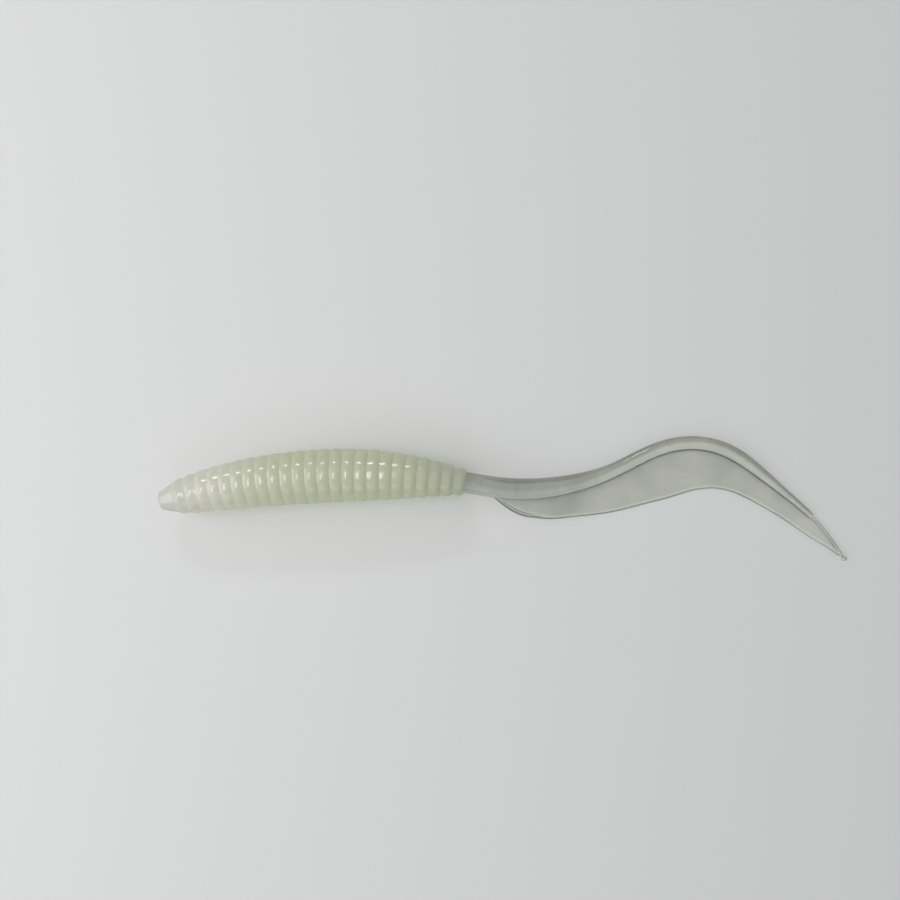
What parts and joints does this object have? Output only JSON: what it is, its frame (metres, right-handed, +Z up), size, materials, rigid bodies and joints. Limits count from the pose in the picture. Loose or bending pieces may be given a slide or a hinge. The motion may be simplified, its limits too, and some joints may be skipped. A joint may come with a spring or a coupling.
{
  "type": "soft plastic worm",
  "caption": "Ringed soft plastic fishing worm with a blunt nose, a round stem and a ribbon tail with a thin clear web along a tapering bead.",
  "frame": {"origin": "on the floor that the worm lies on, in the middle of its outline", "axes": "+X from nose to tail along the longest extent, +Z up from the floor, the nose points towards -X"},
  "size_m": [0.118, 0.0216, 0.0092],
  "materials": {
    "body_plastisol": "milky pale green soft plastisol, glossy and slightly see-through, with rounded rings",
    "bead_plastisol": "clear soft plastisol with a faint green tint, glossy, in a round bead",
    "web_film": "thin clear soft plastisol film, nearly colourless, glossy"
  },
  "bodies": {
    "head": {"nose": "body_plastisol", "ring_01": "body_plastisol", "ring_02": "body_plastisol", "ring_03": "body_plastisol"},
    "body_2": {"ring_04": "body_plastisol", "ring_05": "body_plastisol", "ring_06": "body_plastisol"},
    "body_3": {"ring_07": "body_plastisol", "ring_08": "body_plastisol", "ring_09": "body_plastisol"},
    "body_4": {"ring_10": "body_plastisol", "ring_11": "body_plastisol", "ring_12": "body_plastisol"},
    "body_5": {"ring_13": "body_plastisol", "ring_14": "body_plastisol", "ring_15": "body_plastisol"},
    "body_6": {"ring_16": "body_plastisol", "ring_17": "body_plastisol", "ring_18": "body_plastisol"},
    "body_7": {"ring_19": "body_plastisol", "ring_20": "body_plastisol", "ring_21": "body_plastisol"},
    "body_8": {"ring_22": "body_plastisol", "ring_23": "body_plastisol", "ring_24": "body_plastisol"},
    "stem": {"stem": "body_plastisol"},
    "tail_1": {"tail_bead_01": "bead_plastisol", "tail_web_01": "web_film"},
    "tail_2": {"tail_bead_02": "bead_plastisol", "tail_web_02": "web_film"},
    "tail_3": {"tail_bead_03": "bead_plastisol", "tail_web_03": "web_film"},
    "tail_4": {"tail_bead_04": "bead_plastisol", "tail_web_04": "web_film"},
    "tail_5": {"tail_bead_05": "bead_plastisol", "tail_web_05": "web_film"},
    "tail_6": {"tail_bead_06": "bead_plastisol", "tail_web_06": "web_film"},
    "tail_7": {"tail_bead_07": "bead_plastisol", "tail_web_07": "web_film"},
    "tail_8": {"tail_bead_08": "bead_plastisol", "tail_web_08": "web_film"},
    "tail_9": {"tail_bead_09": "bead_plastisol", "tail_web_09": "web_film"},
    "tail_10": {"tail_web_10": "web_film", "tail_tip": "bead_plastisol"}
  },
  "joints": [
    {"name": "body_sway", "type": "hinge", "parent": "head", "child": "body_2", "pos_m": [-0.04998, 0.00176, 0.0046], "axis": [0.0002, 0, 1], "range_deg": [-18, 18], "stiffness_Nm_per_rad": 0.002},
    {"name": "body_nod", "type": "hinge", "parent": "body_2", "child": "body_3", "pos_m": [-0.04395, 0.0028, 0.0046], "axis": [0.1466, -0.9892, 0], "range_deg": [-18, 18], "stiffness_Nm_per_rad": 0.004},
    {"name": "body_sway_2", "type": "hinge", "parent": "body_3", "child": "body_4", "pos_m": [-0.03788, 0.00356, 0.0046], "axis": [0.0002, 0, 1], "range_deg": [-18, 18], "stiffness_Nm_per_rad": 0.005},
    {"name": "body_nod_2", "type": "hinge", "parent": "body_4", "child": "body_5", "pos_m": [-0.03177, 0.00402, 0.0046], "axis": [0.0523, -0.9986, 0], "range_deg": [-18, 18], "stiffness_Nm_per_rad": 0.005},
    {"name": "body_sway_3", "type": "hinge", "parent": "body_5", "child": "body_6", "pos_m": [-0.02566, 0.0042, 0.0046], "axis": [0.0002, 0, 1], "range_deg": [-18, 18], "stiffness_Nm_per_rad": 0.005},
    {"name": "body_nod_3", "type": "hinge", "parent": "body_6", "child": "body_7", "pos_m": [-0.01954, 0.00408, 0.0046], "axis": [-0.0424, -0.9991, 0], "range_deg": [-18, 18], "stiffness_Nm_per_rad": 0.004},
    {"name": "body_sway_4", "type": "hinge", "parent": "body_7", "child": "body_8", "pos_m": [-0.01343, 0.00368, 0.0046], "axis": [0.0002, 0, 1], "range_deg": [-18, 18], "stiffness_Nm_per_rad": 0.002},
    {"name": "stem_lift", "type": "hinge", "parent": "body_8", "child": "stem", "pos_m": [-0.00735, 0.00299, 0.0046], "axis": [-0.1349, -0.9909, 0], "range_deg": [-30, 30], "stiffness_Nm_per_rad": 0.0005},
    {"name": "stem_swing", "type": "hinge", "parent": "stem", "child": "tail_1", "pos_m": [-0.00221, 0.00217, 0.00436], "axis": [0.0274, -0.3499, 0.9364], "range_deg": [-30, 30], "stiffness_Nm_per_rad": 0.0005},
    {"name": "tail_beat", "type": "hinge", "parent": "tail_1", "child": "tail_2", "pos_m": [0.00476, 0.0019, 0.00353], "axis": [0.0307, -0.9406, -0.3383], "range_deg": [-18, 18], "stiffness_Nm_per_rad": 0.0003},
    {"name": "tail_beat_2", "type": "hinge", "parent": "tail_2", "child": "tail_3", "pos_m": [0.01169, 0.00288, 0.00235], "axis": [0.1263, -0.9398, -0.3174], "range_deg": [-18, 18], "stiffness_Nm_per_rad": 0.0003},
    {"name": "tail_beat_3", "type": "hinge", "parent": "tail_3", "child": "tail_4", "pos_m": [0.01834, 0.005, 0.00132], "axis": [0.3906, -0.9101, -0.1386], "range_deg": [-18, 18], "stiffness_Nm_per_rad": 0.0002},
    {"name": "tail_beat_4", "type": "hinge", "parent": "tail_4", "child": "tail_5", "pos_m": [0.02463, 0.00808, 0.00115], "axis": [0.4192, -0.9026, -0.0977], "range_deg": [-18, 18], "stiffness_Nm_per_rad": 0.0001},
    {"name": "tail_flick", "type": "hinge", "parent": "tail_5", "child": "tail_6", "pos_m": [0.03137, 0.0097, 0.00115], "axis": [0.0006, -0.995, -0.0997], "range_deg": [-18, 18], "stiffness_Nm_per_rad": 0.0001},
    {"name": "tail_flick_2", "type": "hinge", "parent": "tail_6", "child": "tail_7", "pos_m": [0.0382, 0.00835, 0.00115], "axis": [-0.3726, -0.9207, -0.1163], "range_deg": [-18, 18], "stiffness_Nm_per_rad": 0.0001},
    {"name": "tail_flick_3", "type": "hinge", "parent": "tail_7", "child": "tail_8", "pos_m": [0.04398, 0.00448, 0.00094], "axis": [-0.6796, -0.7232, -0.1227], "range_deg": [-18, 18], "stiffness_Nm_per_rad": 0.0001},
    {"name": "tail_flick_4", "type": "hinge", "parent": "tail_8", "child": "tail_9", "pos_m": [0.0494, 0.00007, 0.0006], "axis": [-0.5762, -0.8138, -0.0757], "range_deg": [-18, 18], "stiffness_Nm_per_rad": 0.00005},
    {"name": "tail_flick_5", "type": "hinge", "parent": "tail_9", "child": "tail_10", "pos_m": [0.0545, -0.00468, 0.00049], "axis": [-0.7858, -0.615, -0.0651], "range_deg": [-18, 18], "stiffness_Nm_per_rad": 0.00003}
  ],
  "couplings": [
    {"joint": "body_sway_2", "follows": "body_sway", "ratio": 1},
    {"joint": "body_nod_2", "follows": "body_nod", "ratio": 1},
    {"joint": "body_sway_3", "follows": "body_sway", "ratio": 1},
    {"joint": "body_nod_3", "follows": "body_nod", "ratio": 1},
    {"joint": "body_sway_4", "follows": "body_sway", "ratio": 1},
    {"joint": "tail_beat_2", "follows": "tail_beat", "ratio": 1},
    {"joint": "tail_beat_3", "follows": "tail_beat", "ratio": 1},
    {"joint": "tail_beat_4", "follows": "tail_beat", "ratio": 1},
    {"joint": "tail_flick_2", "follows": "tail_flick", "ratio": 1},
    {"joint": "tail_flick_3", "follows": "tail_flick", "ratio": 1},
    {"joint": "tail_flick_4", "follows": "tail_flick", "ratio": 1},
    {"joint": "tail_flick_5", "follows": "tail_flick", "ratio": 1}
  ]
}
